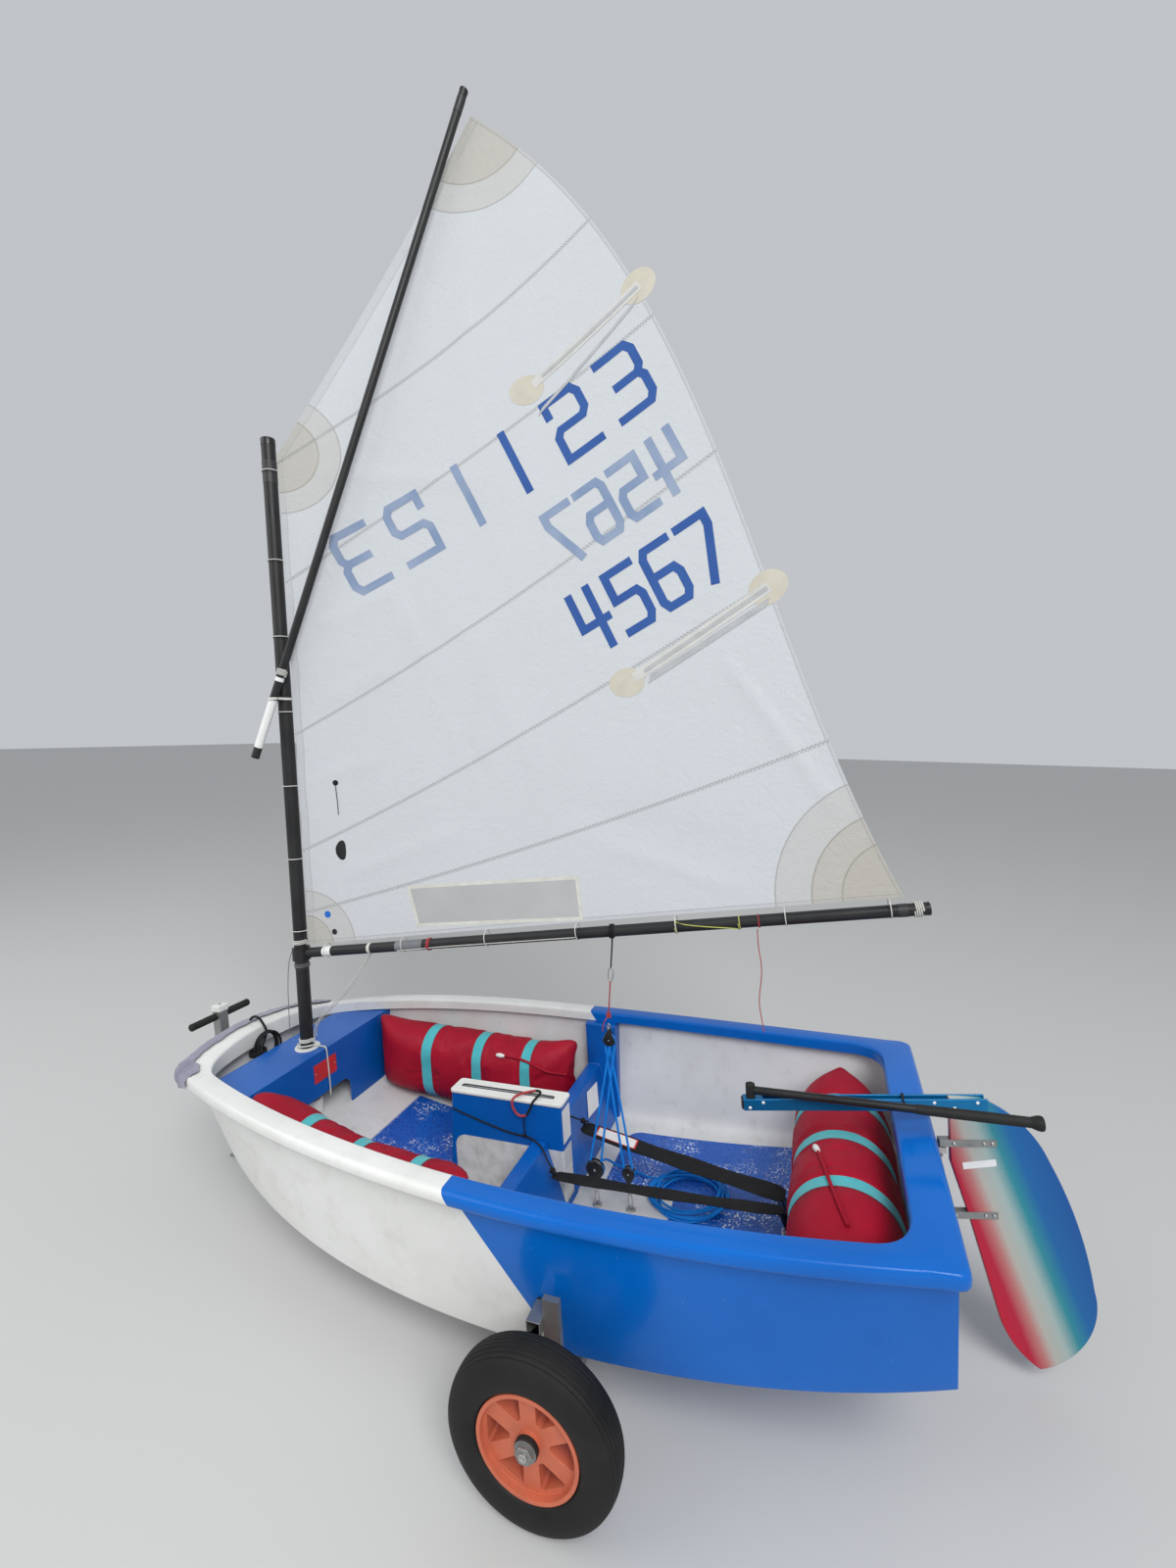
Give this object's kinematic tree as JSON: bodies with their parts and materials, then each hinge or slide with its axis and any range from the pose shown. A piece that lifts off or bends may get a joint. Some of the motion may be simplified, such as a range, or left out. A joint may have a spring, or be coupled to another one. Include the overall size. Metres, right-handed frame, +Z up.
{
  "type": "pram sailing dinghy on a launching trolley",
  "caption": "Small pram sailing dinghy with sprit rig, boom, turning rudder and tiller extension, standing on a two-wheel launching trolley.",
  "frame": {"origin": "on the ground, under the middle of the whole part", "axes": "+X towards the bow, +Y to port, +Z up"},
  "size_m": [2.886, 1.424, 3.7192],
  "materials": {
    "gelcoat_white": "glossy gel coat",
    "gelcoat_blue": "glossy gel coat",
    "spar_black": "taped aluminium tube",
    "sailcloth": "resin coated polyester",
    "window": "clear film",
    "bag_red": "coated nylon",
    "webbing_teal": "woven webbing",
    "webbing_black": "padded webbing",
    "sheet_blue": "braided rope",
    "line_black": "braided rope",
    "line_white": "thin line",
    "cover_cloth": "light cloth",
    "stainless": "brushed",
    "block_black": "moulded",
    "rudder_paint": "gloss lacquer",
    "tiller_blue": "anodised",
    "extension_black": "carbon tube",
    "tyre_rubber": "ribbed",
    "rim_orange": "moulded",
    "galvanised": "galvanised",
    "block_white": "moulded",
    "grip_black": "matt"
  },
  "bodies": {
    "hull": {"bag_straps": "webbing_teal", "bow_cover": "cover_cloth", "bow_rest": "galvanised", "case_cap": "gelcoat_white", "daggerboard_case": "gelcoat_blue", "drawbar": "galvanised", "front_foot": "galvanised", "gudgeons": "stainless", "gunwale": "gelcoat_blue", "handle_block": "block_white", "handle_grips": "grip_black", "hiking_straps": "webbing_black", "hull_pads": "grip_black", "hull_shell": "gelcoat_white", "mainsheet_coil": "sheet_blue", "mainsheet_falls": "sheet_blue", "mainsheet_tail": "sheet_blue", "mast_ring": "gelcoat_white", "mast_step": "gelcoat_white", "mast_thwart": "gelcoat_blue", "midship_frame": "gelcoat_blue", "painter": "line_black", "painter_hank": "line_black", "port_bag": "bag_red", "post": "galvanised", "ratchet_block": "block_black", "second_block": "block_black", "side_tubes": "galvanised", "starboard_bag": "bag_red", "stern_bag": "bag_red", "strap_eye": "stainless", "strap_lashing": "webbing_black", "trolley_axle": "galvanised"},
    "rig": {"mast": "spar_black", "boom": "spar_black", "boom_jaw": "block_black", "sprit": "spar_black", "sprit_strop": "line_white", "sail": "sailcloth", "sail_window": "window", "battens": "sailcloth", "sail_ties": "line_white", "upper_block": "block_black"},
    "rudder": {"rudder_blade": "rudder_paint", "rudder_straps": "stainless", "tiller": "tiller_blue"},
    "extension": {"extension_joint": "extension_black", "extension_tube": "extension_black", "extension_grip": "extension_black"},
    "wheel_port": {"port_tyre": "tyre_rubber", "port_rim": "rim_orange"},
    "wheel_starboard": {"starboard_tyre": "tyre_rubber", "starboard_rim": "rim_orange"}
  },
  "joints": [
    {"name": "mast_swing", "type": "hinge", "parent": "hull", "child": "rig", "pos_m": [0.98084, 0, 0.25651], "axis": [0.0532, 0, 0.9986], "range_deg": [-85, 85]},
    {"name": "rudder_swing", "type": "hinge", "parent": "hull", "child": "rudder", "pos_m": [-1.06703, 0, 0.48873], "axis": [0.0818, 0, 0.9967], "range_deg": [-78, 50]},
    {"name": "extension_swing", "type": "hinge", "parent": "rudder", "child": "extension", "pos_m": [-0.59044, 0.1137, 0.72054], "axis": [0.0818, 0, 0.9967], "range_deg": [-150, 120]},
    {"name": "wheel_port_spin", "type": "hinge", "parent": "hull", "child": "wheel_port", "pos_m": [-0.22623, 0.66, 0.195], "axis": [0, 1, 0], "continuous": true},
    {"name": "wheel_starboard_spin", "type": "hinge", "parent": "hull", "child": "wheel_starboard", "pos_m": [-0.22623, -0.66, 0.195], "axis": [0, 1, 0], "continuous": true}
  ]
}
